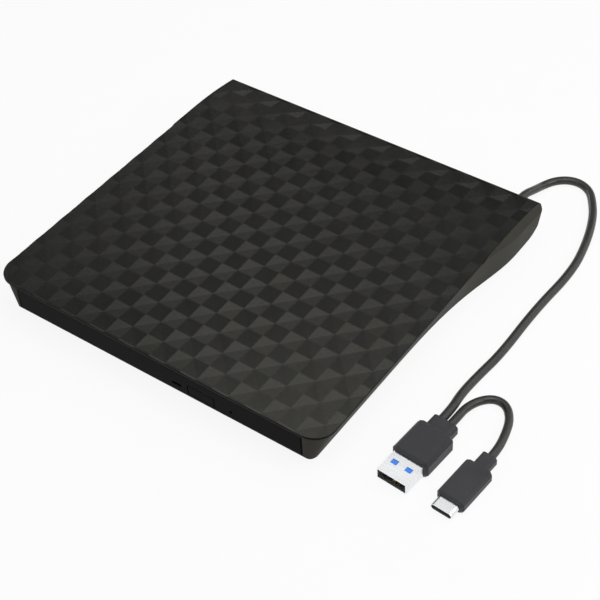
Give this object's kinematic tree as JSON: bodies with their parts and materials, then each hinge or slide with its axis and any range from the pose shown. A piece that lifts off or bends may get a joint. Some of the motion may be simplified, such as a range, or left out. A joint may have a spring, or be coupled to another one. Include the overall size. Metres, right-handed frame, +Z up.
{
  "type": "external optical disc burner",
  "caption": "Flat square portable disc burner with a slide-out tray, spindle hub, laser sled, pyramid-patterned top and a captive lead ending in a flat plug and a small oval plug.",
  "frame": {"origin": "bottom centre of the case, on the surface that its feet stand on", "axes": "+X to the right seen from the bezel, +Y to the back where the lead leaves, +Z up"},
  "size_m": [0.1966, 0.1788, 0.0175],
  "materials": {
    "case_black": "satin, moulded",
    "cover_black": "pyramid relief with fine ribs",
    "foot_rubber": "matt",
    "steel_screw": "zinc plated",
    "foam": "open foam",
    "drive_steel": "galvanised sheet",
    "guide_plastic": "natural acetal",
    "rail_steel": "rolled",
    "tray_black": "fine grain",
    "bezel_black": "satin",
    "clear_plastic": "clear",
    "board_green": "solder mask",
    "chip_black": "moulded",
    "connector_black": "glass filled",
    "connector_white": "nylon",
    "flex_amber": "polyimide",
    "sheet_steel": "stamped",
    "damper_rubber": "soft",
    "motor_steel": "plated",
    "hub_metal": "turned",
    "mat_rubber": "matt",
    "rod_chrome": "ground",
    "sled_cast": "die cast",
    "holder_black": "liquid crystal polymer",
    "lens_glass": "coated",
    "screw_brass": "rolled thread",
    "spring_steel": "music wire",
    "latch_plastic": "acetal",
    "cord_black": "satin jacket",
    "relief_black": "satin",
    "grip_black": "satin overmould",
    "plug_metal": "nickel plated",
    "insert_blue": "moulded",
    "contact_gold": "gold plated"
  },
  "bodies": {
    "case": {"top_cover": "cover_black", "bottom_shell": "case_black", "rubber_feet": "foot_rubber", "case_screws": "steel_screw", "drive_screws": "steel_screw", "foam_pads": "foam", "drive_lower_case": "drive_steel", "drive_upper_case": "drive_steel", "cover_screws": "steel_screw", "left_guide": "guide_plastic", "right_guide": "guide_plastic", "latch_post": "motor_steel", "rear_board": "board_green", "rear_connector": "connector_black", "flex_cable": "flex_amber", "bridge_board": "board_green", "bridge_screws": "steel_screw", "bridge_chips": "chip_black", "bridge_connector": "connector_black", "lead_header": "connector_white", "inner_leads": "cord_black", "strain_relief": "relief_black", "usb_lead": "cord_black", "usb_pigtail": "cord_black", "usb_a_overmould": "grip_black", "usb_a_shell": "plug_metal", "usb_a_insulator": "insert_blue", "usb_a_contacts": "contact_gold", "usb_c_overmould": "grip_black", "usb_c_shell": "plug_metal", "usb_c_tongue": "chip_black"},
    "left_rail": {"left_rail": "rail_steel"},
    "right_rail": {"right_rail": "rail_steel"},
    "tray": {"disc_tray": "tray_black", "tray_bezel": "bezel_black", "light_pipe": "clear_plastic", "switch_board": "board_green", "tact_switch": "sheet_steel", "drive_board": "board_green", "drive_chips": "chip_black", "deck_shield": "sheet_steel", "traverse_frame": "sheet_steel", "damper_bushes": "damper_rubber", "damper_screws": "steel_screw", "spindle_motor": "motor_steel", "guide_rods": "rod_chrome", "sled_motor": "motor_steel", "latch_solenoid": "motor_steel", "eject_plunger": "latch_plastic", "eject_spring": "spring_steel"},
    "button": {"eject_button": "bezel_black"},
    "spindle": {"disc_hub": "hub_metal", "hub_mat": "mat_rubber"},
    "sled": {"laser_sled": "sled_cast"},
    "lens": {"lens_holder": "holder_black", "objective_lens": "lens_glass"},
    "feed_screw": {"lead_screw": "screw_brass"},
    "latch": {"latch_lever": "latch_plastic"}
  },
  "joints": [
    {"name": "tray_slide", "type": "slide", "parent": "case", "child": "tray", "axis": [0, -1, 0], "range_m": [0, 0.122]},
    {"name": "left_rail_slide", "type": "slide", "parent": "case", "child": "left_rail", "axis": [0, -1, 0], "range_m": [0, 0.061]},
    {"name": "right_rail_slide", "type": "slide", "parent": "case", "child": "right_rail", "axis": [0, -1, 0], "range_m": [0, 0.061]},
    {"name": "button_press", "type": "slide", "parent": "tray", "child": "button", "axis": [0, 1, 0], "range_m": [0, 0.0006], "stiffness_N_per_m": 300},
    {"name": "spindle_spin", "type": "hinge", "parent": "tray", "child": "spindle", "pos_m": [0, -0.0045, 0.009], "axis": [0, 0, 1], "continuous": true},
    {"name": "sled_feed", "type": "slide", "parent": "tray", "child": "sled", "axis": [-0.6561, -0.7547, 0], "range_m": [0, 0.0335]},
    {"name": "feed_screw_spin", "type": "hinge", "parent": "tray", "child": "feed_screw", "pos_m": [-0.00308, -0.04158, 0.0069], "axis": [-0.6561, -0.7547, 0], "range_deg": [0, 4022]},
    {"name": "lens_focus", "type": "slide", "parent": "sled", "child": "lens", "axis": [0, 0, 1], "range_m": [-0.0004, 0.0004], "stiffness_N_per_m": 40},
    {"name": "latch_swing", "type": "hinge", "parent": "tray", "child": "latch", "pos_m": [0.0503, -0.05, 0.0082], "axis": [0, 0, 1], "range_deg": [-13, 0]}
  ],
  "couplings": [
    {"joint": "left_rail_slide", "follows": "tray_slide", "ratio": 0.5},
    {"joint": "right_rail_slide", "follows": "tray_slide", "ratio": 0.5},
    {"joint": "feed_screw_spin", "follows": "sled_feed", "rad_per_m": 2094.4}
  ]
}
